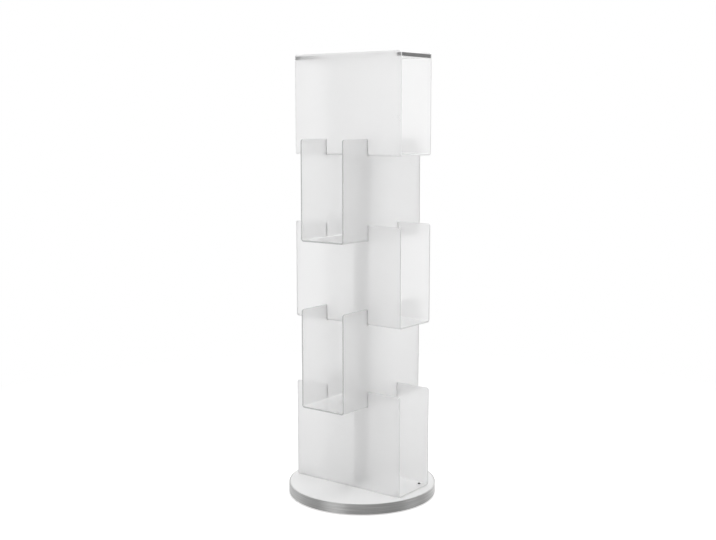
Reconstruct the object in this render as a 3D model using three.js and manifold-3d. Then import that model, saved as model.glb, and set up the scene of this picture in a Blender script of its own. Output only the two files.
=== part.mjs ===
import * as THREE from 'three';
import { mergeVertices } from 'three/addons/utils/BufferGeometryUtils.js';
import Module from 'manifold-3d';

// Rotating media tower: five frosted acrylic troughs stacked crosswise on a round platform that turns
// on a ball ring. Millimetres, +Z up, origin on the floor at the turning axis.

const wasm = await Module();
wasm.setup();

// Troughs, each bent from one acrylic sheet
const tierCount = 5;
const sheetThickness = 4;
const troughInnerWidth = 130;
const troughLength = 342;
const troughHeight = 262;
const bottomTroughExtra = 8;
const bendInnerRadius = 3;
const cornerRadius = 6;
const notchDepth = 42;
const notchSideGap = 0.4;

// Top plate, bonded between the walls of the uppermost trough
const topPlateThickness = 9.5;
const topPlateDrop = 4.5;

// Post tubes between the trough floors, and the plugs in their ends
const postDiameter = 40;
const postWall = 2;
const plugLength = 10;
const plugGap = 0.3;

// Tie rod through the whole stack
const rodDiameter = 12;
const rodHoleGap = 0.5;
const threadGap = 0.3;
const washerDiameter = 26;
const washerThickness = 2;
const nutAcrossFlats = 19;
const nutHeight = 8;
const rodTailLength = 1;
const capDomeHeight = 6;
const capBoreSpare = 0.5;

// Platform: board, white top and steel band
const platformOverhang = 15.6;
const topSkinThickness = 4;
const coreWebThickness = 9.75;
const coreRimWidth = 25;
const coreLift = 1;
const bandWall = 2.5;
const bandChamfer = 0.5;
const bandFloorGap = 3;
const bandFitGap = 0.3;

// Screws that hold the lowest trough to the platform
const floorScrewEndInset = 19;
const floorScrewWallInset = 11;
const floorScrewDiameter = 3.6;
const floorScrewHeadDiameter = 7.6;
const floorScrewHeadHeight = 2.2;
const floorScrewGrip = 6;

// Ball turntable
const ballCount = 10;
const ballDiameter = 6;
const ballGap = 0.3;
const raceInset = 55;
const raceLip = 10;
const raceFlange = 22;
const raceThickness = 3.5;
const raceSpacing = 3;
const cageThickness = 1.4;
const cageWidth = 12;
const cagePocketGap = 0.4;
const raceScrewCount = 3;
const raceScrewInset = 6;
const raceScrewDiameter = 3.6;
const raceScrewHeadDiameter = 7;
const raceScrewHeadHeight = 2;
const upperRaceScrewGrip = 6;
const lowerRaceScrewGrip = 2.6;

// Foot plate and rubber feet
const footPlateGap = 7;
const footPlateThickness = 3;
const footPlateBore = 70;
const rubberFootCount = 4;
const rubberFootInset = 17;
const rubberFootDiameter = 28;
const rubberFootHeight = 3;
const rubberFootWeb = 1;
const footScrewRecess = 0.4;
const footScrewDiameter = 4;
const footScrewHeadDiameter = 8;
const footScrewPocketGap = 0.6;
const footScrewGrip = 2.6;

// Shared clearances: the hairline between parts that bear on each other, holes round screws, cut overrun
const seatGap = 0.05;
const screwHoleGap = 0.4;
const screwTipGap = 0.5;
const cutOverrun = 2;

// Facets
const platformSegments = 64;
const raceSegments = 48;
const tubeSegments = 24;
const rodSegments = 16;
const screwSegments = 8;
const ballSegments = 8;
const bendSegments = 5;
const grooveSegments = 3;
const hexSides = 6;

// Shape of a domed screw head, as shares of its radius and height
const headRimShare = 0.4;
const headCrownShare = 0.6;

// Sizes that follow from the ones above
const troughWidth = troughInnerWidth + 2 * sheetThickness;
const platformRadius = Math.hypot(troughLength / 2, troughWidth / 2) + platformOverhang;
const coreRadius = platformRadius - bandWall - bandFitGap;
const recessRadius = coreRadius - coreRimWidth;
const footPlateRadius = recessRadius - footPlateGap;
const rubberFootCircle = footPlateRadius - rubberFootInset;
const ballCircle = footPlateRadius - raceInset;
const rodHoleRadius = rodDiameter / 2 + rodHoleGap;

// Levels of the turntable and the platform, from the floor up
const footPlateBottom = rubberFootHeight + seatGap;
const footPlateTop = footPlateBottom + footPlateThickness;
const lowerRaceBottom = footPlateTop + seatGap;
const lowerRaceTop = lowerRaceBottom + raceThickness;
const ballLevel = lowerRaceTop + raceSpacing / 2;
const upperRaceBottom = lowerRaceTop + raceSpacing;
const upperRaceTop = upperRaceBottom + raceThickness;
const webBottom = upperRaceTop + seatGap;
const coreTop = webBottom + coreWebThickness;
const skinBottom = coreTop + seatGap;
const platformTop = skinBottom + topSkinThickness;
const coreBottom = bandFloorGap + coreLift;

// Level of the underside of each trough's floor, and each trough's own height
const troughHeights = [];
const troughLevels = [];
for (let tier = 0; tier < tierCount; tier++) {
  troughHeights.push(tier === 0 ? troughHeight + bottomTroughExtra : troughHeight);
  const below = tier === 0 ? platformTop : troughLevels[tier - 1] + troughHeights[tier - 1] - notchDepth;
  troughLevels.push(below + seatGap);
}
const topFloorLevel = troughLevels[tierCount - 1] + sheetThickness;
const topEdgeLevel = troughLevels[tierCount - 1] + troughHeights[tierCount - 1];

// Materials
function frostedAcrylic() {
  return new THREE.MeshStandardMaterial({
    color: 0xeeedee, roughness: 0.55, metalness: 0, transparent: true, opacity: 0.6,
  });
}

function whiteAcrylic() {
  return new THREE.MeshStandardMaterial({ color: 0xe8e8e8, roughness: 0.35, metalness: 0 });
}

function brushedSteel() {
  return new THREE.MeshStandardMaterial({ color: 0xa4a4a3, roughness: 0.35, metalness: 1 });
}

function blackPaint() {
  return new THREE.MeshStandardMaterial({ color: 0x26272a, roughness: 0.6, metalness: 0.2 });
}

function satinAluminium() {
  return new THREE.MeshStandardMaterial({ color: 0xc9cacc, roughness: 0.45, metalness: 1 });
}

function zincSteel() {
  return new THREE.MeshStandardMaterial({ color: 0x9b9da0, roughness: 0.4, metalness: 1 });
}

function darkScrewSteel() {
  return new THREE.MeshStandardMaterial({ color: 0x4a4a4c, roughness: 0.45, metalness: 1 });
}

function blackRubber() {
  return new THREE.MeshStandardMaterial({ color: 0x242424, roughness: 0.9, metalness: 0 });
}

function blackNylon() {
  return new THREE.MeshStandardMaterial({ color: 0x2c2c2e, roughness: 0.6, metalness: 0 });
}

function fibreBoard() {
  return new THREE.MeshStandardMaterial({ color: 0xa98a66, roughness: 0.85, metalness: 0 });
}

// Solids and meshes
function toSolid(geometry) {
  const bare = geometry.clone();
  bare.deleteAttribute('normal');
  bare.deleteAttribute('uv');
  const merged = mergeVertices(bare);
  const corners = merged.index.array;
  const faces = [];
  for (let i = 0; i < corners.length; i += 3) {
    const [a, b, c] = [corners[i], corners[i + 1], corners[i + 2]];
    if (a !== b && b !== c && c !== a) faces.push(a, b, c);
  }
  const vertProperties = new Float32Array(merged.attributes.position.array);
  const triVerts = new Uint32Array(faces);
  return new wasm.Manifold(new wasm.Mesh({ numProp: 3, vertProperties, triVerts }));
}

function toGeometry(solid) {
  const mesh = solid.getMesh();
  const geometry = new THREE.BufferGeometry();
  geometry.setAttribute('position', new THREE.BufferAttribute(mesh.vertProperties, 3));
  geometry.setIndex(new THREE.BufferAttribute(mesh.triVerts, 1));
  geometry.computeVertexNormals();
  return geometry;
}

function cut(geometry, cutters) {
  let solid = toSolid(geometry);
  for (const cutter of cutters) solid = solid.subtract(toSolid(cutter));
  return toGeometry(solid);
}

function piece(name, geometry, material) {
  const mesh = new THREE.Mesh(geometry, material);
  mesh.name = name;
  return mesh;
}

function place(mesh, x, y, z) {
  mesh.position.set(x, y, z);
  return mesh;
}

// Profile points are [radius, height], going up on the outside
function revolved(profile, segments) {
  const points = profile.map(([radius, height]) => new THREE.Vector2(radius, height));
  if (profile[0][0] > 0) points.push(points[0].clone());
  return new THREE.LatheGeometry(points, segments).rotateX(Math.PI / 2);
}

function ring(innerRadius, outerRadius, thickness, segments) {
  const profile = [[innerRadius, 0], [outerRadius, 0], [outerRadius, thickness], [innerRadius, thickness]];
  return revolved(profile, segments);
}

function cylinder(radius, bottom, top, segments, x = 0, y = 0) {
  const geometry = new THREE.CylinderGeometry(radius, radius, top - bottom, segments);
  return geometry.rotateX(Math.PI / 2).translate(x, y, (bottom + top) / 2);
}

function hexPrism(acrossFlats, height) {
  return cylinder(acrossFlats / 2 / Math.cos(Math.PI / hexSides), 0, height, hexSides);
}

function onCircle(count, radius, turnShare) {
  const places = [];
  for (let i = 0; i < count; i++) {
    const angle = ((i + turnShare) / count) * 2 * Math.PI;
    places.push([radius * Math.cos(angle), radius * Math.sin(angle)]);
  }
  return places;
}

// Domed screw with its bearing face at height 0 and its shank below
function screw(shankDiameter, shankLength, headDiameter, headHeight) {
  return revolved([
    [0, -shankLength],
    [shankDiameter / 2, -shankLength],
    [shankDiameter / 2, 0],
    [headDiameter / 2, 0],
    [headDiameter / 2, headHeight * headRimShare],
    [(headDiameter / 2) * headCrownShare, headHeight],
    [0, headHeight],
  ], screwSegments);
}

// Troughs
function troughSection(height) {
  const outside = troughWidth / 2;
  const inside = troughInnerWidth / 2;
  const outerRadius = bendInnerRadius + sheetThickness;
  const bendCentre = outside - outerRadius;
  const section = new THREE.Shape();
  section.moveTo(-outside, height);
  section.lineTo(-outside, outerRadius);
  section.absarc(-bendCentre, outerRadius, outerRadius, Math.PI, 1.5 * Math.PI, false);
  section.lineTo(bendCentre, 0);
  section.absarc(bendCentre, outerRadius, outerRadius, 1.5 * Math.PI, 2 * Math.PI, false);
  section.lineTo(outside, height);
  section.lineTo(inside, height);
  section.lineTo(inside, outerRadius);
  section.absarc(bendCentre, outerRadius, bendInnerRadius, 0, -0.5 * Math.PI, true);
  section.lineTo(-bendCentre, sheetThickness);
  section.absarc(-bendCentre, outerRadius, bendInnerRadius, -0.5 * Math.PI, -Math.PI, true);
  section.lineTo(-inside, height);
  section.closePath();
  return section;
}

function wallOutline(height, hasNotch) {
  const end = troughLength / 2;
  const notchHalf = troughWidth / 2 + notchSideGap;
  const outline = new THREE.Shape();
  outline.moveTo(-end, -cutOverrun);
  outline.lineTo(end, -cutOverrun);
  outline.lineTo(end, height - cornerRadius);
  outline.absarc(end - cornerRadius, height - cornerRadius, cornerRadius, 0, 0.5 * Math.PI, false);
  if (hasNotch) {
    outline.lineTo(notchHalf, height);
    outline.lineTo(notchHalf, height - notchDepth);
    outline.lineTo(-notchHalf, height - notchDepth);
    outline.lineTo(-notchHalf, height);
  }
  outline.lineTo(-end + cornerRadius, height);
  outline.absarc(-end + cornerRadius, height - cornerRadius, cornerRadius, 0.5 * Math.PI, Math.PI, false);
  outline.closePath();
  return outline;
}

function floorScrewPlaces() {
  const x = troughLength / 2 - floorScrewEndInset;
  const y = troughInnerWidth / 2 - floorScrewWallInset;
  return [[x, y], [-x, y], [-x, -y], [x, -y]];
}

// The trough runs along X with its floor's underside at height 0
function trough(tier) {
  const height = troughHeights[tier];
  const sectionLength = troughLength + 2 * cutOverrun;
  const section = new THREE.ExtrudeGeometry(troughSection(height + cutOverrun), {
    depth: sectionLength, bevelEnabled: false, curveSegments: bendSegments,
  });
  const sectionTurn = new THREE.Matrix4().makeBasis(
    new THREE.Vector3(0, 1, 0), new THREE.Vector3(0, 0, 1), new THREE.Vector3(1, 0, 0),
  );
  section.applyMatrix4(sectionTurn).translate(-sectionLength / 2, 0, 0);

  const outlineWidth = troughWidth + 2 * cutOverrun;
  const outline = new THREE.ExtrudeGeometry(wallOutline(height, tier < tierCount - 1), {
    depth: outlineWidth, bevelEnabled: false, curveSegments: bendSegments,
  });
  outline.rotateX(Math.PI / 2).translate(0, outlineWidth / 2, 0);

  let solid = toSolid(section).intersect(toSolid(outline));
  const holeTop = sheetThickness + cutOverrun;
  solid = solid.subtract(toSolid(cylinder(rodHoleRadius, -cutOverrun, holeTop, rodSegments)));
  if (tier === 0) {
    const radius = floorScrewDiameter / 2 + screwHoleGap;
    for (const [x, y] of floorScrewPlaces()) {
      solid = solid.subtract(toSolid(cylinder(radius, -cutOverrun, holeTop, screwSegments, x, y)));
    }
  }
  const mesh = piece(`trough_${tier + 1}`, toGeometry(solid), frostedAcrylic());
  mesh.rotation.z = tier % 2 === 0 ? 0 : Math.PI / 2;
  return place(mesh, 0, 0, troughLevels[tier]);
}

function topPlate() {
  const width = troughInnerWidth - 2 * seatGap;
  const plate = new THREE.BoxGeometry(troughLength, width, topPlateThickness);
  const mesh = piece('top_plate', plate, frostedAcrylic());
  mesh.rotation.z = (tierCount - 1) % 2 === 0 ? 0 : Math.PI / 2;
  return place(mesh, 0, 0, topEdgeLevel - topPlateDrop - topPlateThickness / 2);
}

// Post
function postPieces() {
  const pieces = [];
  const innerRadius = postDiameter / 2 - postWall;
  const plugRadius = innerRadius - plugGap;
  for (let storey = 0; storey < tierCount - 1; storey++) {
    const bottom = troughLevels[storey] + sheetThickness + seatGap;
    const length = troughLevels[storey + 1] - seatGap - bottom;
    const number = storey + 1;
    const tube = ring(innerRadius, postDiameter / 2, length, tubeSegments);
    pieces.push(place(piece(`post_tube_${number}`, tube, satinAluminium()), 0, 0, bottom));
    const plugLevels = { lower: bottom, upper: bottom + length - plugLength };
    for (const [end, level] of Object.entries(plugLevels)) {
      const plug = ring(rodHoleRadius, plugRadius, plugLength, rodSegments);
      pieces.push(place(piece(`post_plug_${number}_${end}`, plug, blackNylon()), 0, 0, level));
    }
  }
  return pieces;
}

function tieRodPieces() {
  const lowerWasherBottom = webBottom - seatGap - washerThickness;
  const lowerNutBottom = lowerWasherBottom - seatGap - nutHeight;
  const upperWasherBottom = topFloorLevel + seatGap;
  const capNutBottom = upperWasherBottom + washerThickness + seatGap;
  const boreRadius = rodDiameter / 2 + threadGap;
  const washer = () => ring(boreRadius, washerDiameter / 2, washerThickness, rodSegments);

  const rodBottom = lowerNutBottom - rodTailLength;
  const rodTop = capNutBottom + nutHeight;
  const rod = cylinder(rodDiameter / 2, rodBottom, rodTop, rodSegments);

  const nutBore = cylinder(boreRadius, -cutOverrun, nutHeight + cutOverrun, rodSegments);
  const nut = cut(hexPrism(nutAcrossFlats, nutHeight), [nutBore]);

  const dome = revolved([
    [0, 0],
    [nutAcrossFlats / 2, 0],
    [nutAcrossFlats / 2, nutHeight],
    [(nutAcrossFlats / 2) * Math.cos(Math.PI / 6), nutHeight + capDomeHeight / 2],
    [(nutAcrossFlats / 2) * Math.cos(Math.PI / 3), nutHeight + capDomeHeight * Math.sin(Math.PI / 3)],
    [0, nutHeight + capDomeHeight],
  ], rodSegments);
  const capBore = cylinder(boreRadius, -cutOverrun, nutHeight + capBoreSpare, rodSegments);
  const cap = toSolid(hexPrism(nutAcrossFlats, nutHeight)).add(toSolid(dome)).subtract(toSolid(capBore));

  return [
    piece('tie_rod', rod, zincSteel()),
    place(piece('rod_washer_lower', washer(), zincSteel()), 0, 0, lowerWasherBottom),
    place(piece('rod_nut_lower', nut, zincSteel()), 0, 0, lowerNutBottom),
    place(piece('rod_washer_upper', washer(), zincSteel()), 0, 0, upperWasherBottom),
    place(piece('rod_cap_nut', toGeometry(cap), zincSteel()), 0, 0, capNutBottom),
  ];
}

// Platform
function platformPieces() {
  const webLevel = webBottom - coreBottom;
  const coreHeight = coreTop - coreBottom;
  const floorPilots = floorScrewPlaces().map(([x, y]) => cylinder(
    floorScrewDiameter / 2 + threadGap, coreHeight - floorScrewGrip - screwTipGap,
    coreHeight + cutOverrun, screwSegments, x, y,
  ));
  const racePilots = upperRaceScrewPlaces().map(([x, y]) => cylinder(
    raceScrewDiameter / 2 + threadGap, webLevel - cutOverrun,
    webLevel + upperRaceScrewGrip + screwTipGap, screwSegments, x, y,
  ));
  const core = cut(revolved([
    [rodHoleRadius, webLevel],
    [recessRadius, webLevel],
    [recessRadius, 0],
    [coreRadius, 0],
    [coreRadius, coreHeight],
    [rodHoleRadius, coreHeight],
  ], platformSegments), [...floorPilots, ...racePilots]);

  const skinHoles = floorScrewPlaces().map(([x, y]) => cylinder(
    floorScrewDiameter / 2 + screwHoleGap, -cutOverrun, topSkinThickness + cutOverrun, screwSegments, x, y,
  ));
  const skin = cut(ring(rodHoleRadius, coreRadius, topSkinThickness, platformSegments), skinHoles);

  const bandHeight = platformTop - bandFloorGap;
  const band = revolved([
    [platformRadius - bandWall, 0],
    [platformRadius - bandChamfer, 0],
    [platformRadius, bandChamfer],
    [platformRadius, bandHeight - bandChamfer],
    [platformRadius - bandChamfer, bandHeight],
    [platformRadius - bandWall, bandHeight],
  ], platformSegments);

  return [
    place(piece('platform_core', core, fibreBoard()), 0, 0, coreBottom),
    place(piece('platform_top', skin, whiteAcrylic()), 0, 0, skinBottom),
    place(piece('edge_band', band, brushedSteel()), 0, 0, bandFloorGap),
  ];
}

function floorScrews() {
  const bearingLevel = troughLevels[0] + sheetThickness + seatGap;
  const shankLength = bearingLevel - coreTop + floorScrewGrip;
  return floorScrewPlaces().map(([x, y], i) => {
    const geometry = screw(floorScrewDiameter, shankLength, floorScrewHeadDiameter, floorScrewHeadHeight);
    return place(piece(`floor_screw_${i + 1}`, geometry, darkScrewSteel()), x, y, bearingLevel);
  });
}

// Ball turntable. A race has a round groove on the ball circle; the upper one is the lower one turned
// over, with its wide flange on the outside instead of the inside.
function raceProfile(innerRadius, outerRadius) {
  const grooveRadius = ballDiameter / 2 + ballGap;
  const centreHeight = raceThickness + raceSpacing / 2;
  const lipAngle = Math.asin(raceSpacing / 2 / grooveRadius);
  const profile = [[innerRadius, 0], [outerRadius, 0], [outerRadius, raceThickness]];
  for (let i = 0; i <= grooveSegments; i++) {
    const angle = -lipAngle - (i / grooveSegments) * (Math.PI - 2 * lipAngle);
    profile.push([ballCircle + grooveRadius * Math.cos(angle), centreHeight + grooveRadius * Math.sin(angle)]);
  }
  profile.push([innerRadius, raceThickness]);
  return profile;
}

function lowerRaceScrewPlaces() {
  return onCircle(raceScrewCount, ballCircle - raceFlange + raceScrewInset, 0);
}

function upperRaceScrewPlaces() {
  return onCircle(raceScrewCount, ballCircle + raceFlange - raceScrewInset, 0.5);
}

function raceHoles(places) {
  const radius = raceScrewDiameter / 2 + screwHoleGap;
  return places.map(([x, y]) => cylinder(
    radius, -cutOverrun, raceThickness + cutOverrun, screwSegments, x, y,
  ));
}

function lowerRacePieces() {
  const profile = raceProfile(ballCircle - raceFlange, ballCircle + raceLip);
  const geometry = cut(revolved(profile, raceSegments), raceHoles(lowerRaceScrewPlaces()));
  const race = place(piece('lower_race', geometry, zincSteel()), 0, 0, lowerRaceBottom);
  const bearingLevel = lowerRaceTop + seatGap;
  const shankLength = bearingLevel - footPlateTop + lowerRaceScrewGrip;
  const screws = lowerRaceScrewPlaces().map(([x, y], i) => {
    const fastener = screw(raceScrewDiameter, shankLength, raceScrewHeadDiameter, raceScrewHeadHeight);
    return place(piece(`lower_race_screw_${i + 1}`, fastener, zincSteel()), x, y, bearingLevel);
  });
  return [race, ...screws];
}

function upperRacePieces() {
  const profile = raceProfile(ballCircle - raceLip, ballCircle + raceFlange);
  const upright = revolved(profile, raceSegments).rotateX(Math.PI).translate(0, 0, raceThickness);
  const geometry = cut(upright, raceHoles(upperRaceScrewPlaces()));
  const race = place(piece('upper_race', geometry, zincSteel()), 0, 0, upperRaceBottom);
  const bearingLevel = upperRaceBottom - seatGap;
  const shankLength = webBottom - bearingLevel + upperRaceScrewGrip;
  const screws = upperRaceScrewPlaces().map(([x, y], i) => {
    const fastener = screw(raceScrewDiameter, shankLength, raceScrewHeadDiameter, raceScrewHeadHeight);
    fastener.rotateX(Math.PI);
    return place(piece(`upper_race_screw_${i + 1}`, fastener, zincSteel()), x, y, bearingLevel);
  });
  return [race, ...screws];
}

function ballCagePieces() {
  const places = onCircle(ballCount, ballCircle, 0);
  const pocketRadius = ballDiameter / 2 + cagePocketGap;
  const pockets = places.map(([x, y]) => cylinder(
    pocketRadius, -cutOverrun, cageThickness + cutOverrun, screwSegments, x, y,
  ));
  const plate = ring(ballCircle - cageWidth / 2, ballCircle + cageWidth / 2, cageThickness, raceSegments);
  const cage = piece('ball_cage', cut(plate, pockets), blackNylon());
  const balls = places.map(([x, y], i) => {
    const sphere = new THREE.SphereGeometry(ballDiameter / 2, ballSegments, ballSegments - 2);
    sphere.rotateX(Math.PI / 2);
    return place(piece(`ball_${i + 1}`, sphere, zincSteel()), x, y, ballLevel);
  });
  return [place(cage, 0, 0, ballLevel - cageThickness / 2), ...balls];
}

// Foot
function footPieces() {
  const footPlaces = onCircle(rubberFootCount, rubberFootCircle, 0.5);
  const plateHole = (radius, x, y) => cylinder(
    radius, -cutOverrun, footPlateThickness + cutOverrun, screwSegments, x, y,
  );
  const plate = cut(ring(footPlateBore / 2, footPlateRadius, footPlateThickness, raceSegments), [
    ...footPlaces.map(([x, y]) => plateHole(footScrewDiameter / 2 + threadGap, x, y)),
    ...lowerRaceScrewPlaces().map(([x, y]) => plateHole(raceScrewDiameter / 2 + threadGap, x, y)),
  ]);
  const pieces = [place(piece('foot_plate', plate, blackPaint()), 0, 0, footPlateBottom)];

  const pocketDepth = rubberFootHeight - rubberFootWeb;
  const pocketRadius = footScrewHeadDiameter / 2 + footScrewPocketGap;
  const holeRadius = footScrewDiameter / 2 + screwHoleGap;
  const headHeight = pocketDepth - seatGap - footScrewRecess;
  const bearingLevel = pocketDepth - seatGap;
  const shankLength = footPlateBottom - bearingLevel + footScrewGrip;
  footPlaces.forEach(([x, y], i) => {
    const foot = revolved([
      [pocketRadius, 0],
      [rubberFootDiameter / 2, 0],
      [rubberFootDiameter / 2, rubberFootHeight],
      [holeRadius, rubberFootHeight],
      [holeRadius, pocketDepth],
      [pocketRadius, pocketDepth],
    ], rodSegments);
    pieces.push(place(piece(`rubber_foot_${i + 1}`, foot, blackRubber()), x, y, 0));
    const fastener = screw(footScrewDiameter, shankLength, footScrewHeadDiameter, headHeight);
    fastener.rotateX(Math.PI);
    pieces.push(place(piece(`foot_screw_${i + 1}`, fastener, zincSteel()), x, y, bearingLevel));
  });
  return pieces;
}

// The tower: what stays on the floor, the balls between, and all that turns
const foot = new THREE.Group();
foot.add(...footPieces(), ...lowerRacePieces());

const ballCage = new THREE.Group();
ballCage.add(...ballCagePieces());

const turningTower = new THREE.Group();
turningTower.add(...upperRacePieces(), ...platformPieces());
for (let tier = 0; tier < tierCount; tier++) turningTower.add(trough(tier));
turningTower.add(...floorScrews(), ...postPieces(), ...tieRodPieces(), topPlate());

const mediaTower = new THREE.Group();
mediaTower.add(foot, ballCage, turningTower);

export default mediaTower;
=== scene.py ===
# Rotating media tower: frosted troughs stacked crosswise on a turning platform
import math

import bmesh
import bpy
from mathutils import Matrix, Vector


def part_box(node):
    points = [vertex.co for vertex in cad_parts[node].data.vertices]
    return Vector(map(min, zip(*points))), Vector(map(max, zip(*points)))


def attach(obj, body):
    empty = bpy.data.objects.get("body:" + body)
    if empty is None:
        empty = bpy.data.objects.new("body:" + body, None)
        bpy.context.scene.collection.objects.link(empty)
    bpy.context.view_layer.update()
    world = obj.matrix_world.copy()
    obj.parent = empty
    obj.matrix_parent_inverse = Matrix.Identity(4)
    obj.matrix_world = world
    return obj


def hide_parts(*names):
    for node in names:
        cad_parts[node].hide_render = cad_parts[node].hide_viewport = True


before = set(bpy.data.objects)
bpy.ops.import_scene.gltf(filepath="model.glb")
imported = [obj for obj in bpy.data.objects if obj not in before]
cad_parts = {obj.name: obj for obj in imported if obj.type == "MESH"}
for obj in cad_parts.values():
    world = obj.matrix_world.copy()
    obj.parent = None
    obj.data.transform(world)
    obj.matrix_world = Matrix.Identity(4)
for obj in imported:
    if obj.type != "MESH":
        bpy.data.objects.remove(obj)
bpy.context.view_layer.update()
print("frame loaded:", len(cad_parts), "nodes")


# node helpers
def newMaterial(name):
    material = bpy.data.materials.new(name)
    material.use_nodes = True
    nodes, links = material.node_tree.nodes, material.node_tree.links
    return material, nodes, links, nodes["Principled BSDF"]


def addGroup(nodes, group, **values):
    node = nodes.new("ShaderNodeGroup")
    node.node_tree = group
    for name, value in values.items():
        node.inputs[name].default_value = value
    return node


def newGroup(name, inputs, outputs):
    group = bpy.data.node_groups.new(name, "ShaderNodeTree")
    for label, kind, value in inputs:
        group.interface.new_socket(label, in_out="INPUT", socket_type=kind).default_value = value
    for label, kind in outputs:
        group.interface.new_socket(label, in_out="OUTPUT", socket_type=kind)
    return group, group.nodes.new("NodeGroupInput"), group.nodes.new("NodeGroupOutput")


def mathNode(nodes, links, operation, first, second=None):
    node = nodes.new("ShaderNodeMath")
    node.operation = operation
    for socket, value in zip(node.inputs, (first, second)):
        if isinstance(value, bpy.types.NodeSocket):
            links.new(value, socket)
        elif value is not None:
            socket.default_value = value
    return node.outputs[0]


def rangeNode(nodes, links, value, low, high):
    node = nodes.new("ShaderNodeMapRange")
    links.new(value, node.inputs["Value"])
    for socket, number in (("To Min", low), ("To Max", high)):
        if isinstance(number, bpy.types.NodeSocket):
            links.new(number, node.inputs[socket])
        else:
            node.inputs[socket].default_value = number
    return node.outputs["Result"]


def noiseNode(nodes, links, vector, scale, detail):
    node = nodes.new("ShaderNodeTexNoise")
    node.inputs["Detail"].default_value = detail
    links.new(vector, node.inputs["Vector"])
    if isinstance(scale, bpy.types.NodeSocket):
        links.new(scale, node.inputs["Scale"])
    else:
        node.inputs["Scale"].default_value = scale
    return node.outputs["Fac"]


def tintBy(nodes, links, color, pattern, change):
    # the color, a little lighter and darker with the pattern
    swing = mathNode(nodes, links, "MULTIPLY", mathNode(nodes, links, "SUBTRACT", pattern, 0.5), change)
    tint = nodes.new("ShaderNodeVectorMath")
    tint.operation = "SCALE"
    links.new(color, tint.inputs[0])
    links.new(mathNode(nodes, links, "ADD", swing, 1.0), tint.inputs["Scale"])
    return tint.outputs["Vector"]


def addBump(nodes, links, shader, height, strength, depth):
    bump = nodes.new("ShaderNodeBump")
    bump.inputs["Strength"].default_value = strength
    bump.inputs["Distance"].default_value = depth
    links.new(height, bump.inputs["Height"])
    links.new(bump.outputs["Normal"], shader.inputs["Normal"])


# shared effects
finishMix = {"grain": 0.35, "clouds": 0.65}


def makeFinishGroup():
    # fine surface grain with slow, cloudy changes over it
    group, given, out = newGroup("fineFinish", (
        ("Color", "NodeSocketColor", (0.8, 0.8, 0.8, 1)), ("Grain Scale", "NodeSocketFloat", 1500.0),
        ("Cloud Scale", "NodeSocketFloat", 9.0), ("Color Change", "NodeSocketFloat", 0.04),
        ("Rough Low", "NodeSocketFloat", 0.4), ("Rough High", "NodeSocketFloat", 0.5),
    ), (("Color", "NodeSocketColor"), ("Roughness", "NodeSocketFloat"), ("Height", "NodeSocketFloat")))
    nodes, links = group.nodes, group.links
    place = nodes.new("ShaderNodeTexCoord").outputs["Object"]
    grain = noiseNode(nodes, links, place, given.outputs["Grain Scale"], detail=2.0)
    clouds = noiseNode(nodes, links, place, given.outputs["Cloud Scale"], detail=4.0)
    both = mathNode(nodes, links, "ADD", mathNode(nodes, links, "MULTIPLY", grain, finishMix["grain"]),
                    mathNode(nodes, links, "MULTIPLY", clouds, finishMix["clouds"]))
    tint = tintBy(nodes, links, given.outputs["Color"], both, given.outputs["Color Change"])
    links.new(tint, out.inputs["Color"])
    links.new(rangeNode(nodes, links, both, given.outputs["Rough Low"], given.outputs["Rough High"]),
              out.inputs["Roughness"])
    links.new(grain, out.inputs["Height"])
    return group


def makeStreakGroup():
    # brush lines: long along one direction, fine across the other two
    group, given, out = newGroup("brushLines", (
        ("Vector", "NodeSocketVector", (0, 0, 0)), ("Color", "NodeSocketColor", (0.6, 0.6, 0.6, 1)),
        ("Contrast", "NodeSocketFloat", 0.15), ("Rough Low", "NodeSocketFloat", 0.3),
        ("Rough High", "NodeSocketFloat", 0.45),
    ), (("Color", "NodeSocketColor"), ("Roughness", "NodeSocketFloat"), ("Height", "NodeSocketFloat")))
    nodes, links = group.nodes, group.links
    lines = noiseNode(nodes, links, given.outputs["Vector"], scale=1.0, detail=8.0)
    tint = tintBy(nodes, links, given.outputs["Color"], lines, given.outputs["Contrast"])
    links.new(tint, out.inputs["Color"])
    links.new(rangeNode(nodes, links, lines, given.outputs["Rough Low"], given.outputs["Rough High"]),
              out.inputs["Roughness"])
    links.new(lines, out.inputs["Height"])
    return group


fineFinish = makeFinishGroup()
brushLines = makeStreakGroup()


# materials: scales are in patterns a metre, bump depths in metres
def finishMaterial(name, color, grainScale, cloudScale, change, rough, bump, depth=0.00002, metallic=0.0):
    material, nodes, links, shader = newMaterial(name)
    finish = addGroup(nodes, fineFinish, **{
        "Color": (*color, 1), "Grain Scale": grainScale, "Cloud Scale": cloudScale, "Color Change": change,
        "Rough Low": rough[0], "Rough High": rough[1]})
    links.new(finish.outputs["Color"], shader.inputs["Base Color"])
    links.new(finish.outputs["Roughness"], shader.inputs["Roughness"])
    shader.inputs["Metallic"].default_value = metallic
    addBump(nodes, links, shader, finish.outputs["Height"], bump, depth)
    return material


brush = {"wallScale": 4000.0, "bump": 0.12, "depth": 0.00002, "acrossTurn": 0.25}


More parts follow.
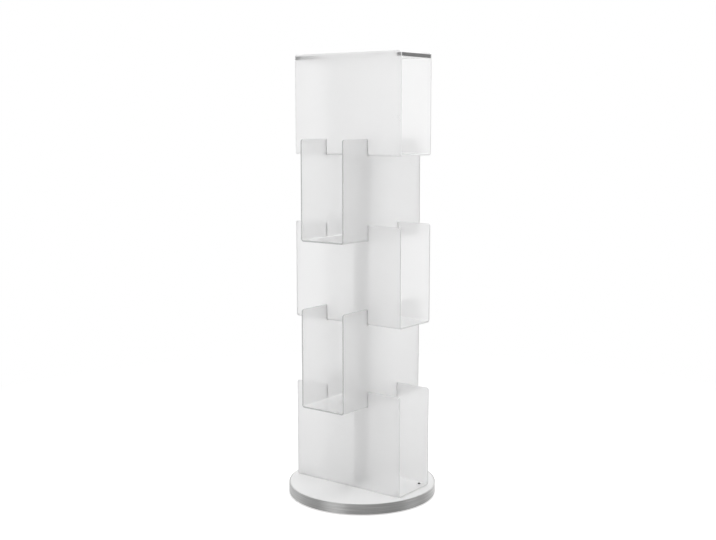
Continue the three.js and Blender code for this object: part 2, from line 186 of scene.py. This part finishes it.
def brushedMaterial(name, color, contrast, rough, roundAxis, lineScale, alongScale, anisotropic,
                    metallic=1.0):
    material, nodes, links, shader = newMaterial(name)
    split = nodes.new("ShaderNodeSeparateXYZ")
    links.new(nodes.new("ShaderNodeTexCoord").outputs["Object"], split.inputs[0])
    x, y, z = split.outputs
    turn = mathNode(nodes, links, "ARCTAN2", y, x)
    squares = [mathNode(nodes, links, "MULTIPLY", value, value) for value in (x, y)]
    radius = mathNode(nodes, links, "SQRT", mathNode(nodes, links, "ADD", *squares))
    join = nodes.new("ShaderNodeCombineXYZ")
    along, across = (turn, z) if roundAxis else (z, turn)
    links.new(mathNode(nodes, links, "MULTIPLY", along, alongScale), join.inputs[0])
    links.new(mathNode(nodes, links, "MULTIPLY", across, lineScale), join.inputs[1])
    links.new(mathNode(nodes, links, "MULTIPLY", radius, brush["wallScale"]), join.inputs[2])
    lines = addGroup(nodes, brushLines, **{"Color": (*color, 1), "Contrast": contrast,
                                           "Rough Low": rough[0], "Rough High": rough[1]})
    links.new(join.outputs[0], lines.inputs["Vector"])
    links.new(lines.outputs["Color"], shader.inputs["Base Color"])
    links.new(lines.outputs["Roughness"], shader.inputs["Roughness"])
    shader.inputs["Metallic"].default_value = metallic
    shader.inputs["Anisotropic"].default_value = anisotropic
    shader.inputs["Anisotropic Rotation"].default_value = brush["acrossTurn"] if roundAxis else 0.0
    tangent = nodes.new("ShaderNodeTangent")
    tangent.direction_type = "RADIAL"
    tangent.axis = "Z"
    links.new(tangent.outputs[0], shader.inputs["Tangent"])
    addBump(nodes, links, shader, lines.outputs["Height"], brush["bump"], brush["depth"])
    return material


frosted = {
    "color": (0.882, 0.882, 0.882),
    "grainScale": 2200.0,
    "cloudScale": 7.0,
    "change": 0.03,
    "rough": (0.255, 0.315),
    "bump": 0.06,
}
throughSheet = {"weight": 0.818, "bend": 1.49}


def frostedMaterial():
    material = finishMaterial("frostedAcrylic", **frosted)
    nodes, links = material.node_tree.nodes, material.node_tree.links
    shader = nodes["Principled BSDF"]
    shader.inputs["Transmission Weight"].default_value = throughSheet["weight"]
    shader.inputs["IOR"].default_value = throughSheet["bend"]
    path = nodes.new("ShaderNodeLightPath")  # lets the lamps' light through to what stands behind
    solid = mathNode(nodes, links, "SUBTRACT", 1.0, path.outputs["Is Shadow Ray"])
    links.new(solid, shader.inputs["Alpha"])
    return material


frostedAcrylic = frostedMaterial()
edgeGrain = {"grainScale": 2500.0, "cloudScale": 60.0}
# one acrylic edge in three greys of painted light and shade: darker on the crosswise troughs, paler on the
# lengthwise ones, palest on the top trough
shadedEdge = finishMaterial("acrylicEdgePaintedShade", (0.46, 0.46, 0.46), change=0.3, rough=(0.35, 0.5), bump=0.25,
                          **edgeGrain)
litEdge = finishMaterial("acrylicEdgePaintedLight", (0.68, 0.68, 0.68), change=0.2, rough=(0.3, 0.4), bump=0.15,
                          **edgeGrain)
brightLitEdge = finishMaterial("acrylicEdgePaintedBrightLight", (0.88, 0.88, 0.88), change=0.1, rough=(0.3, 0.4), bump=0.1,
                           **edgeGrain)
# near black on the notch's upright edges: painted shade of the narrow gap where they stand against the next
# trough's wall
notchGapShade = finishMaterial("notchGapShade", (0.05, 0.05, 0.05), change=0.3, rough=(0.4, 0.55), bump=0.25,
                           **edgeGrain)
darkEdge = finishMaterial("thickPlateEdge", (0.205, 0.205, 0.205), change=0.3, rough=(0.3, 0.4), bump=0.15,
                          **edgeGrain)
# a painted near-black band on the top plate's side faces next to its ends, for the dark end faces seen
# through the clear plate
paintedEndThrough = finishMaterial("plateEndPaintedThroughSide", (0.01, 0.01, 0.01), change=0.3, rough=(0.4, 0.55), bump=0.15,
                          **edgeGrain)
whiteAcrylic = finishMaterial("whiteAcrylic", (0.72, 0.72, 0.72), grainScale=900.0, cloudScale=14.0,
                              change=0.03, rough=(0.28, 0.36), bump=0.03)
whiteShine = 0.15  # low, so that the lamps leave no glare on the platform
whiteAcrylic.node_tree.nodes["Principled BSDF"].inputs["Specular IOR Level"].default_value = whiteShine
bandSteel = brushedMaterial("brushedSteelBand", (0.66, 0.66, 0.656), contrast=0.7, rough=(0.48, 0.6),
                            roundAxis=True, lineScale=380.0, alongScale=2.2, anisotropic=0.9)
tubeAluminium = brushedMaterial("satinAluminium", (0.65, 0.65, 0.65), contrast=0.12, rough=(0.36, 0.44),
                                roundAxis=False, lineScale=160.0, alongScale=30.0, anisotropic=0.3,
                                metallic=0.5)  # matt anodised
zincPlate = finishMaterial("zincPlate", (0.56, 0.57, 0.58), grainScale=3000.0, cloudScale=420.0,
                           change=0.25, rough=(0.3, 0.45), bump=0.15, metallic=1.0)
darkSteel = finishMaterial("blackenedSteel", (0.1, 0.1, 0.105), grainScale=3000.0, cloudScale=300.0,
                           change=0.3, rough=(0.35, 0.5), bump=0.2, metallic=1.0)
ballSteel = finishMaterial("polishedBallSteel", (0.66, 0.67, 0.68), grainScale=2500.0, cloudScale=200.0,
                           change=0.05, rough=(0.12, 0.2), bump=0.03, metallic=1.0)
blackNylon = finishMaterial("blackNylon", (0.03, 0.03, 0.032), grainScale=1800.0, cloudScale=90.0,
                            change=0.2, rough=(0.5, 0.62), bump=0.2)
blackPowder = finishMaterial("blackPowderCoat", (0.025, 0.025, 0.027), grainScale=1100.0, cloudScale=60.0,
                             change=0.3, rough=(0.5, 0.65), bump=0.5, depth=0.00006)
blackRubber = finishMaterial("blackRubber", (0.02, 0.02, 0.02), grainScale=1400.0, cloudScale=80.0,
                             change=0.4, rough=(0.78, 0.9), bump=0.4, depth=0.00004)
fibreBoard = finishMaterial("fibreBoard", (0.4, 0.27, 0.16), grainScale=1300.0, cloudScale=160.0,
                            change=0.5, rough=(0.8, 0.92), bump=0.5, depth=0.00008)
print("materials ready")


# modelling helpers
soft = {"segments": 2, "fromAngle": 50, "smoothAngle": 35}
near = {"merge": 1e-7, "cut": 1e-6, "pick": 1e-5}  # metres within which points count as one
lean = {"little": 0.1, "mostly": 0.5, "fully": 0.9, "flat": 0.99}  # share of a normal along an axis
hexSides = 6


def makePiece(bm, name, materials, body, nodes, slotName, bevelWidth=0.0, smoothAngle=soft["smoothAngle"]):
    mesh = bpy.data.meshes.new(name)
    bm.to_mesh(mesh)
    bm.free()
    for material in materials:
        mesh.materials.append(material)
    mesh.polygons.foreach_set("use_smooth", [True] * len(mesh.polygons))
    mesh.set_sharp_from_angle(angle=math.radians(smoothAngle))
    piece = bpy.data.objects.new(name, mesh)
    bpy.context.scene.collection.objects.link(piece)
    if bevelWidth:
        bevel = piece.modifiers.new("softEdges", "BEVEL")
        bevel.width = bevelWidth
        bevel.segments = soft["segments"]
        bevel.limit_method = "ANGLE"
        bevel.angle_limit = math.radians(soft["fromAngle"])
        bevel.harden_normals = True
    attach(piece, body)
    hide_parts(*nodes)


def spinProfile(bm, points, steps, closed=True):
    # turns a half profile of (radius, height) points once round Z
    verts = [bm.verts.new((radius, 0, height)) for radius, height in points]
    pairs = list(zip(verts, verts[1:])) + ([(verts[-1], verts[0])] if closed else [])
    edges = [bm.edges.new(pair) for pair in pairs]
    bmesh.ops.spin(bm, geom=verts + edges, cent=(0, 0, 0), axis=(0, 0, 1), dvec=(0, 0, 0),
                   angle=2 * math.pi, steps=steps, use_merge=True)
    bmesh.ops.remove_doubles(bm, verts=bm.verts[:], dist=near["merge"])
    bmesh.ops.recalc_face_normals(bm, faces=bm.faces[:])


def turnPiece(profile, steps, *pieceValues):
    bm = bmesh.new()
    spinProfile(bm, profile, steps)
    makePiece(bm, *pieceValues)


def ringProfile(inner, outer, bottom, top):
    return [(inner, bottom), (outer, bottom), (outer, top), (inner, top)]


def boxCentre(node):
    low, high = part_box(node)
    return (low + high) / 2


def cutAlong(bm, place, across):
    bmesh.ops.bisect_plane(bm, geom=bm.verts[:] + bm.edges[:] + bm.faces[:], dist=near["cut"],
                           plane_co=place, plane_no=across)


# troughs
trough = {
    "sheet": 0.004,
    "insideBend": 0.003,
    "bendSteps": 8,
    "corner": 0.006,
    "cornerSteps": 6,
    "notchDepth": 0.042,
    "notchGap": 0.0004,
    "endZone": 0.01,
    "softEdge": 0.0003,
    "tiers": 5,
    "flatMerge": 0.01,
}


def markEdges(bm, bendTop, end):
    # cut edges of the sheet take the second material, a grey of painted light and shade chosen per trough;
    # the notch's upright edges take the third, painted shade of the narrow gap against the next trough
    for face in bm.faces:
        across, middle = face.normal, face.calc_center_median()
        if abs(across.x) > lean["little"] or (middle.z > bendTop and abs(across.y) < lean["little"]):
            # upright notch edges get the painted gap shade
            inNotch = abs(across.x) > lean["fully"] and abs(middle.x) < end - trough["endZone"]
            face.material_index = 2 if inNotch else 1


def makeTrough(tier):
    node = f"trough_{tier}"
    low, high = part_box(node)
    crosswise = tier % 2 == 0
    size = high - low
    length, width = (size.y, size.x) if crosswise else (size.x, size.y)
    bm = bmesh.new()
    bmesh.ops.create_cube(bm, size=1)
    bmesh.ops.scale(bm, vec=(length, width, size.z), verts=bm.verts[:])
    bmesh.ops.translate(bm, vec=(0, 0, size.z / 2), verts=bm.verts[:])
    openSides = [f for f in bm.faces if abs(f.normal.x) > lean["mostly"] or f.normal.z > lean["mostly"]]
    bmesh.ops.delete(bm, geom=openSides, context="FACES")
    if tier < trough["tiers"]:
        # a notch in both walls, in which the next trough sits
        half, floor = width / 2 + trough["notchGap"], size.z - trough["notchDepth"]
        cutAlong(bm, (half, 0, 0), (1, 0, 0))
        cutAlong(bm, (-half, 0, 0), (1, 0, 0))
        cutAlong(bm, (0, 0, floor), (0, 0, 1))
        middles = [(f, f.calc_center_median()) for f in bm.faces]
        notch = [f for f, c in middles if abs(c.x) < half and c.z > floor]
        bmesh.ops.delete(bm, geom=notch, context="FACES")
        bmesh.ops.dissolve_limit(bm, angle_limit=trough["flatMerge"], verts=bm.verts[:], edges=bm.edges[:])
    pick = near["pick"]
    corners = [v for v in bm.verts if abs(v.co.x) > length / 2 - pick and v.co.z > size.z - pick]
    bmesh.ops.bevel(bm, geom=corners, affect="VERTICES", offset=trough["corner"],
                    segments=trough["cornerSteps"], profile=0.5, material=-1)
    bends = [e for e in bm.edges if all(v.co.z < pick and abs(v.co.y) > width / 2 - pick for v in e.verts)]
    outsideBend = trough["insideBend"] + trough["sheet"]
    bmesh.ops.bevel(bm, geom=bends, affect="EDGES", offset=outsideBend, segments=trough["bendSteps"],
                    profile=0.5, material=-1)
    bmesh.ops.solidify(bm, geom=bm.faces[:], thickness=trough["sheet"])
    bm.normal_update()
    markEdges(bm, outsideBend + pick, length / 2)
    if crosswise:
        quarter = Matrix.Rotation(math.pi / 2, 3, "Z")
        bmesh.ops.rotate(bm, cent=(0, 0, 0), matrix=quarter, verts=bm.verts[:])
    bmesh.ops.translate(bm, vec=(0, 0, low.z), verts=bm.verts[:])
    # painted light and shade on the cut edges: one grey per trough
    edge = shadedEdge if crosswise else brightLitEdge if tier == trough["tiers"] else litEdge
    makePiece(bm, f"frosted_trough_{tier}", [frostedAcrylic, edge, notchGapShade], "tower", [node],
              "frosted_acrylic", trough["softEdge"])


for tier in range(1, trough["tiers"] + 1):
    makeTrough(tier)
print("troughs bent")


# top plate
topPlate = {"softEdge": 0.0004, "darkEnd": 0.014}


def makeTopPlate():
    low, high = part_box("top_plate")
    bm = bmesh.new()
    bmesh.ops.create_cube(bm, size=1)
    bmesh.ops.scale(bm, vec=high - low, verts=bm.verts[:])
    bmesh.ops.translate(bm, vec=(low + high) / 2, verts=bm.verts[:])
    end = high.x - topPlate["darkEnd"]
    for x in (end, -end):
        cutAlong(bm, (x, 0, 0), (1, 0, 0))
    # at both ends the cut face takes the second material; the side faces along the walls next to it take the
    # third, a painted near-black band for the dark end seen through the clear plate
    for face in bm.faces:
        if abs(face.calc_center_median().x) > end and abs(face.normal.z) < lean["mostly"]:
            face.material_index = 1 if abs(face.normal.x) > lean["mostly"] else 2
    makePiece(bm, "frosted_top_plate", [frostedAcrylic, darkEdge, paintedEndThrough], "tower", ["top_plate"],
              "frosted_acrylic", topPlate["softEdge"])


makeTopPlate()
print("top plate laid in")


# platform
platform = {
    "steps": 160,
    "rodHole": 0.0065,
    "bandWall": 0.0025,
    "bandSoftEdge": 0.0005,
    "topSoftEdge": 0.0006,
    "rimWidth": 0.025,
    "webDepth": 0.00975,
}


def makePlatform():
    steps, softEdge, hole = platform["steps"], platform["topSoftEdge"], platform["rodHole"]
    low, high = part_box("edge_band")
    turnPiece(ringProfile(high.x - platform["bandWall"], high.x, low.z, high.z), steps, "steel_edge_band",
              [bandSteel], "tower", ["edge_band"], "brushed_steel", platform["bandSoftEdge"])
    low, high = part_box("platform_top")
    turnPiece(ringProfile(hole, high.x, low.z, high.z), steps, "white_platform_top", [whiteAcrylic], "tower",
              ["platform_top"], "white_acrylic", softEdge)
    # the board has a recess below for the turntable
    low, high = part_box("platform_core")
    recess, web = high.x - platform["rimWidth"], high.z - platform["webDepth"]
    profile = [(hole, web), (recess, web), (recess, low.z), (high.x, low.z), (high.x, high.z), (hole, high.z)]
    turnPiece(profile, steps, "platform_board", [fibreBoard], "tower", ["platform_core"], "fibre_board",
              softEdge)


makePlatform()
print("platform turned")


# post and its fixings
post = {"steps": 64, "wall": 0.002, "softEdge": 0.0003, "storeys": 4}
nut = {"acrossFlats": 0.019, "height": 0.008, "steps": 48, "domeShare": 0.97, "domeSteps": 8,
       "domeFoot": 0.001, "softEdge": 0.0003}
screwHead = {
    # shares of the head's radius
    "height": 0.58,
    "flatTop": 0.45,
    "socket": 0.32,
    "socketInset": 0.05,
    # shares of the head's height
    "rim": 0.4,
    "socketDepth": 0.7,
    "steps": 24,
    "arcSteps": 6,
}
metalSmooth = 40


def makePost():
    for storey in range(1, post["storeys"] + 1):
        low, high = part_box(f"post_tube_{storey}")
        turnPiece(ringProfile(high.x - post["wall"], high.x, low.z, high.z), post["steps"],
                  f"aluminium_post_{storey}", [tubeAluminium], "tower", [f"post_tube_{storey}"],
                  "satin_aluminium", post["softEdge"])


def makeCapNut():
    low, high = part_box("rod_cap_nut")
    middle = low.z + nut["height"]
    bm = bmesh.new()
    corner = nut["acrossFlats"] / 2 / math.cos(math.pi / hexSides)
    bmesh.ops.create_cone(bm, cap_ends=True, segments=hexSides, radius1=corner, radius2=corner,
                          depth=nut["height"], matrix=Matrix.Translation((0, 0, (low.z + middle) / 2)))
    radius = nut["acrossFlats"] / 2 * nut["domeShare"]
    dome = [(0, high.z)]
    for i in range(1, nut["domeSteps"] + 1):
        angle = i / nut["domeSteps"] * math.pi / 2
        dome.append((radius * math.sin(angle), middle + (high.z - middle) * math.cos(angle)))
    dome += [(radius, middle - nut["domeFoot"]), (0, middle - nut["domeFoot"])]
    spinProfile(bm, dome, nut["steps"], closed=False)
    makePiece(bm, "zinc_cap_nut", [zincPlate], "tower", ["rod_cap_nut"], "zinc_steel", nut["softEdge"],
              metalSmooth)


def makeScrew(name, node, body, slotName, material, shank, flipped):
    # screw with a low round head and a hexagonal socket
    low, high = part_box(node)
    place = boxCentre(node)
    radius = high.x - place.x
    headHeight = radius * screwHead["height"]
    length = high.z - low.z
    bm = bmesh.new()
    rim, flat, steps = headHeight * screwHead["rim"], screwHead["flatTop"], screwHead["arcSteps"]
    profile = [(0, headHeight - length), (shank, headHeight - length), (shank, 0), (radius, 0), (radius, rim)]
    for i in range(1, steps):
        angle = i / steps * math.pi / 2
        profile.append((radius * (flat + (1 - flat) * math.cos(angle)),
                        rim + (headHeight - rim) * math.sin(angle)))
    profile += [(radius * flat, headHeight), (0, headHeight)]
    spinProfile(bm, profile, screwHead["steps"], closed=False)
    topLevel = headHeight - near["cut"]
    flatFaces = [f for f in bm.faces if f.normal.z > lean["flat"] and f.calc_center_median().z > topLevel]
    bmesh.ops.dissolve_faces(bm, faces=flatFaces)
    top = max(bm.faces, key=lambda f: (round(f.calc_center_median().z, 7), f.calc_area()))
    bmesh.ops.inset_region(bm, faces=[top], thickness=radius * screwHead["socketInset"])
    hexStep = 2 * math.pi / hexSides
    for vert in top.verts:
        angle = math.atan2(vert.co.y, vert.co.x) % hexStep - hexStep / 2
        vert.co.xy = vert.co.xy.normalized() * radius * screwHead["socket"] / math.cos(angle)
    pushed = bmesh.ops.extrude_discrete_faces(bm, faces=[top])["faces"][0]
    bmesh.ops.translate(bm, vec=(0, 0, -headHeight * screwHead["socketDepth"]), verts=pushed.verts[:])
    if flipped:
        bmesh.ops.rotate(bm, cent=(0, 0, 0), matrix=Matrix.Rotation(math.pi, 3, "X"), verts=bm.verts[:])
    headFoot = low.z + headHeight if flipped else high.z - headHeight
    bmesh.ops.translate(bm, vec=(place.x, place.y, headFoot), verts=bm.verts[:])
    makePiece(bm, name, [material], body, [node], slotName, smoothAngle=metalSmooth)


makePost()
makeCapNut()
screws = (
    # CAD node, how many, body, slot, material, shank radius, head downwards
    ("floor_screw", 4, "tower", "dark_steel", darkSteel, 0.0018, False),
    ("foot_screw", 4, "foot", "zinc_steel", zincPlate, 0.002, True),
    ("upper_race_screw", 3, "tower", "zinc_steel", zincPlate, 0.0018, True),
    ("lower_race_screw", 3, "foot", "zinc_steel", zincPlate, 0.0018, False),
)
for node, count, *rest in screws:
    for i in range(1, count + 1):
        makeScrew(f"socket_{node}_{i}", f"{node}_{i}", *rest)
print("post and fixings done")


# turntable and foot
bearing = {"steps": 120, "groove": 0.0033, "grooveSteps": 10, "flange": 0.022, "lip": 0.01,
           "softEdge": 0.0003, "balls": 10, "ballRounds": 4}
rubberFoot = {"count": 4, "steps": 40, "pocket": 0.0046, "hole": 0.0024, "web": 0.001, "softEdge": 0.0004}
footPlate = {"steps": 128, "bore": 0.035, "softEdge": 0.0006}


def makeRace(name, node, body, up):
    low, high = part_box(node)
    ball = boxCentre("ball_1")
    circle, centre = ball.x, ball.z
    inner = circle - (bearing["flange"] if up else bearing["lip"])
    back, face = (low.z, high.z) if up else (high.z, low.z)
    groove = bearing["groove"]
    lip = math.asin(abs(centre - face) / groove)
    profile = [(inner, back), (high.x, back), (high.x, face)]
    steps = bearing["grooveSteps"]
    for i in range(steps + 1):
        angle = lip + i / steps * (math.pi - 2 * lip)
        height = groove * math.sin(angle)
        profile.append((circle + groove * math.cos(angle), centre - height if up else centre + height))
    profile.append((inner, face))
    turnPiece(profile, bearing["steps"], name, [zincPlate], body, [node], "zinc_steel", bearing["softEdge"])


def makeBalls():
    for i in range(1, bearing["balls"] + 1):
        low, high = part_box(f"ball_{i}")
        bm = bmesh.new()
        bmesh.ops.create_icosphere(bm, subdivisions=bearing["ballRounds"], radius=(high.z - low.z) / 2,
                                   matrix=Matrix.Translation((low + high) / 2))
        makePiece(bm, f"steel_ball_{i}", [ballSteel], "ball_ring", [f"ball_{i}"], "zinc_steel")


def makeFoot():
    low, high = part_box("foot_plate")
    turnPiece(ringProfile(footPlate["bore"], high.x, low.z, high.z), footPlate["steps"],
              "powder_coated_foot_plate", [blackPowder], "foot", ["foot_plate"], "black_paint",
              footPlate["softEdge"])
    for i in range(1, rubberFoot["count"] + 1):
        low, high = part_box(f"rubber_foot_{i}")
        place = boxCentre(f"rubber_foot_{i}")
        outer, pocketTop = high.x - place.x, high.z - rubberFoot["web"]
        pocket, hole = rubberFoot["pocket"], rubberFoot["hole"]
        bm = bmesh.new()
        spinProfile(bm, [(pocket, 0), (outer, 0), (outer, high.z), (hole, high.z), (hole, pocketTop),
                         (pocket, pocketTop)], rubberFoot["steps"])
        bmesh.ops.translate(bm, vec=(place.x, place.y, low.z), verts=bm.verts[:])
        makePiece(bm, f"moulded_foot_{i}", [blackRubber], "foot", [f"rubber_foot_{i}"], "rubber",
                  rubberFoot["softEdge"])


makeRace("turned_lower_race", "lower_race", "foot", True)
makeRace("turned_upper_race", "upper_race", "tower", False)
makeBalls()
makeFoot()
print("turntable and foot done")


# CAD nodes that stay
kept = {"tie_rod": zincPlate, "rod_washer_lower": zincPlate, "rod_nut_lower": zincPlate,
        "rod_washer_upper": zincPlate, "ball_cage": blackNylon}
for storey in range(1, post["storeys"] + 1):
    kept[f"post_plug_{storey}_lower"] = kept[f"post_plug_{storey}_upper"] = blackNylon
for name, material in kept.items():
    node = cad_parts[name]
    node.data.materials.clear()
    node.data.materials.append(material)


# studio
studio = {
    "cameraPlace": (1.7391, -2.326, 1.0081),
    "cameraTilt": 82.212,
    "cameraTurn": 37.008,
    "lens": 55.01,
    "sensor": 36,
    "lampAim": (0, 0, 0.6),
    "worldBack": 0.948,
    "worldFront": 0.733,
    "lightTurn": 9,
    "lightEdge": (-1.0, 1.0),
    "throughFront": 0.907,
    "mirrorTurn": 45.5,
    "roomBack": 1.0,
    "roomLevel": 0.05,
    "roomEdge": (-0.8, 0.1),
    "floorSize": 12,
    "floorColor": (0.694, 0.694, 0.694),
    "floorRough": 0.8,
    "floorGlow": 0.5,
    "floorThrough": 0.02,
    "floorFade": (0.4, 1.8),
}
lamps = {
    # place, width, height, watts
    "leftBox": ((-0.3, -2.9, 0.87), 1.6, 2.6, 20.7),
    "backBox": ((-0.17, 2.8, 2.28), 1.4, 2.6, 24.7),
    "lowRight": ((2.75, 1.15, 0.2), 1.0, 0.36, 4),
    "topBox": ((0.2, -0.5, 3.2), 2.4, 2.4, 29.3),
}


def makeCamera():
    data = bpy.data.cameras.new("camera")
    data.lens = studio["lens"]
    data.sensor_width = studio["sensor"]
    data.sensor_fit = "HORIZONTAL"
    camera = bpy.data.objects.new("camera", data)
    camera.location = studio["cameraPlace"]
    camera.rotation_euler = (math.radians(studio["cameraTilt"]), 0, math.radians(studio["cameraTurn"]))
    bpy.context.scene.collection.objects.link(camera)
    bpy.context.scene.camera = camera


def makeLamps():
    for name, (place, width, height, watts) in lamps.items():
        data = bpy.data.lights.new(name, "AREA")
        data.shape = "RECTANGLE"
        data.size, data.size_y = width, height
        data.energy = watts
        lamp = bpy.data.objects.new(name, data)
        lamp.location = place
        lamp.rotation_euler = (Vector(studio["lampAim"]) - Vector(place)).to_track_quat("-Z", "Y").to_euler()
        lamp.visible_camera = False
        lamp.visible_transmission = False
        bpy.context.scene.collection.objects.link(lamp)


def roomNode(nodes, links, direction, turn, edge, back, front):
    # brightness of the room by direction: back behind the tower, front on the other side
    facing = nodes.new("ShaderNodeVectorMath")
    facing.operation = "DOT_PRODUCT"
    links.new(direction, facing.inputs[0])
    turn = math.radians(turn)
    facing.inputs[1].default_value = (math.sin(turn), -math.cos(turn), 0)
    room = nodes.new("ShaderNodeMapRange")
    room.interpolation_type = "SMOOTHSTEP"
    room.inputs["From Min"].default_value, room.inputs["From Max"].default_value = edge
    room.inputs["To Min"].default_value, room.inputs["To Max"].default_value = back, front
    links.new(facing.outputs["Value"], room.inputs["Value"])
    return room.outputs["Result"]


def makeWorld():
    world = bpy.data.worlds.new("studio")
    bpy.context.scene.world = world
    world.use_nodes = True
    nodes, links = world.node_tree.nodes, world.node_tree.links
    path = nodes.new("ShaderNodeLightPath")
    flat = nodes.new("ShaderNodeVectorMath")  # level directions: white behind the tower, darker in front
    flat.operation = "MULTIPLY"
    flat.inputs[1].default_value = (1, 1, 0)
    links.new(nodes.new("ShaderNodeTexCoord").outputs["Generated"], flat.inputs[0])
    level = nodes.new("ShaderNodeVectorMath")
    level.operation = "NORMALIZE"
    links.new(flat.outputs["Vector"], level.inputs[0])
    direction = level.outputs["Vector"]
    mirrored = roomNode(nodes, links, direction, studio["mirrorTurn"], studio["roomEdge"],
                        studio["roomBack"], studio["roomLevel"])
    through = roomNode(nodes, links, direction, studio["cameraTurn"], studio["roomEdge"], 1.0,
                       studio["throughFront"])
    lighting = roomNode(nodes, links, direction, studio["lightTurn"], studio["lightEdge"],
                        studio["worldBack"], studio["worldFront"])
    strength = rangeNode(nodes, links, path.outputs["Is Glossy Ray"], lighting, mirrored)
    strength = rangeNode(nodes, links, path.outputs["Is Transmission Ray"], strength, through)
    strength = rangeNode(nodes, links, path.outputs["Is Camera Ray"], strength, 1.0)
    links.new(strength, nodes["Background"].inputs["Strength"])
    nodes["Background"].inputs["Color"].default_value = (1, 1, 1, 1)


def makeFloor():
    bm = bmesh.new()
    bmesh.ops.create_grid(bm, x_segments=1, y_segments=1, size=studio["floorSize"])
    mesh = bpy.data.meshes.new("studioFloor")
    bm.to_mesh(mesh)
    bm.free()
    floor = bpy.data.objects.new("studioFloor", mesh)
    bpy.context.scene.collection.objects.link(floor)
    material, nodes, links, shader = newMaterial("paleFloor")
    shader.inputs["Roughness"].default_value = studio["floorRough"]
    shader.inputs["Specular IOR Level"].default_value = 0.0
    shader.inputs["Emission Color"].default_value = (1, 1, 1, 1)
    path = nodes.new("ShaderNodeLightPath")
    seen = mathNode(nodes, links, "MAXIMUM", path.outputs["Is Camera Ray"],
                    path.outputs["Is Transmission Ray"])
    away = nodes.new("ShaderNodeVectorMath")  # far from the tower the floor fades into the backdrop
    away.operation = "LENGTH"
    links.new(nodes.new("ShaderNodeTexCoord").outputs["Object"], away.inputs[0])
    fade = nodes.new("ShaderNodeMapRange")
    fade.inputs["From Min"].default_value, fade.inputs["From Max"].default_value = studio["floorFade"]
    links.new(away.outputs["Value"], fade.inputs["Value"])
    faded = mathNode(nodes, links, "MULTIPLY", seen, fade.outputs["Result"])
    tone = nodes.new("ShaderNodeMix")
    tone.data_type = "RGBA"
    tone.inputs["A"].default_value = (*studio["floorColor"], 1)
    tone.inputs["B"].default_value = (0, 0, 0, 1)
    links.new(faded, tone.inputs["Factor"])
    links.new(tone.outputs["Result"], shader.inputs["Base Color"])
    closeBy = rangeNode(nodes, links, path.outputs["Is Camera Ray"], studio["floorThrough"],
                        studio["floorGlow"])
    glow = rangeNode(nodes, links, fade.outputs["Result"], closeBy, 1.0)
    links.new(mathNode(nodes, links, "MULTIPLY", seen, glow), shader.inputs["Emission Strength"])
    mesh.materials.append(material)


makeCamera()
makeLamps()
makeWorld()
makeFloor()
bpy.context.scene.view_settings.view_transform = "Standard"
print("studio ready")
